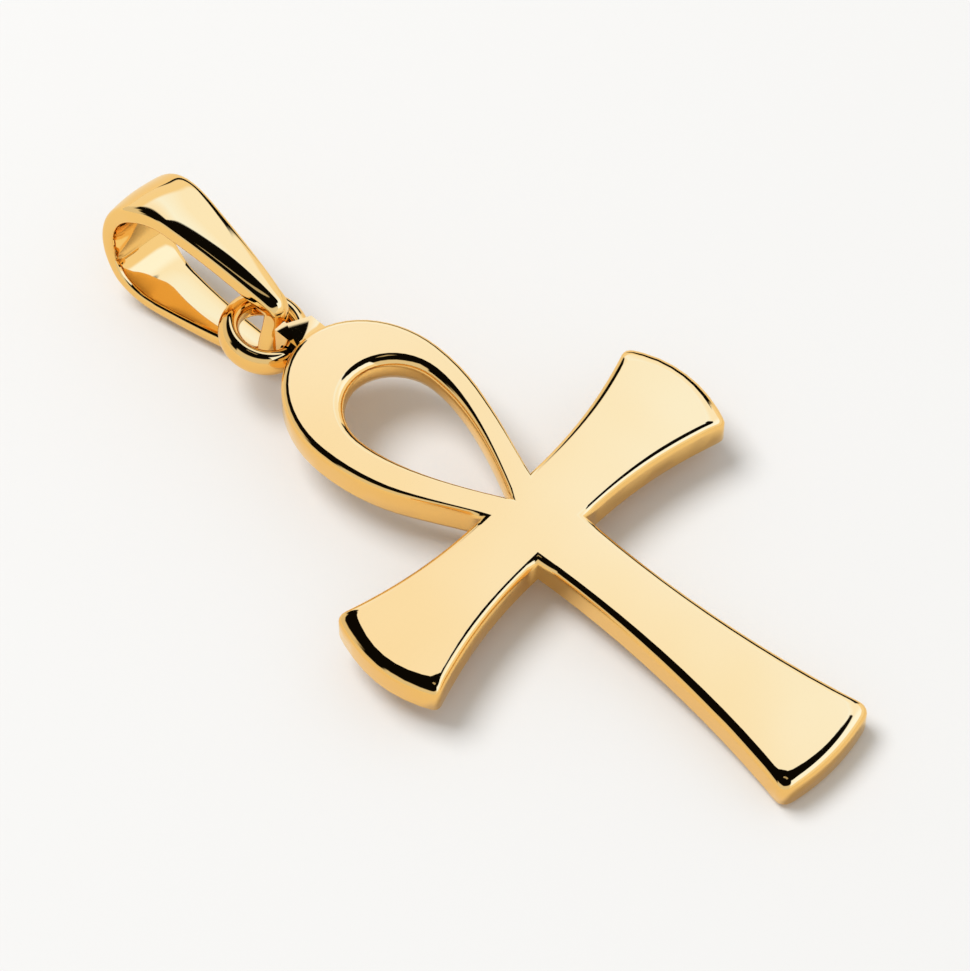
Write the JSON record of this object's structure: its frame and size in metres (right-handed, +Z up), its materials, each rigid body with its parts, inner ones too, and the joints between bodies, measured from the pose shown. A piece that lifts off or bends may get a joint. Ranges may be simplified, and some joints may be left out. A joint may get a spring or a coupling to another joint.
{
  "type": "ankh pendant",
  "caption": "Polished gold ankh pendant lying flat, a looped cross with flared arms on a small jump ring and a teardrop bail",
  "frame": {"origin": "On the table under the middle of the whole pendant as it lies: the middle of its extents in X and Y, and the lowest point of the stem's end and of the bail in Z.", "axes": "+X along the ankh's crossbar, +Y along the stem toward the loop and the bail, +Z up from the table. The ankh's front face looks up and toward the stem's end by the small tilt at which it rests."},
  "size_m": [0.0158, 0.0332, 0.0052],
  "materials": {
    "ankh": "polished 14 carat yellow gold",
    "jump_ring": "polished 14 carat yellow gold",
    "bail": "polished 14 carat yellow gold"
  },
  "bodies": {
    "root": {"ankh": "ankh", "jump_ring": "jump_ring", "bail": "bail"}
  },
  "joints": []
}
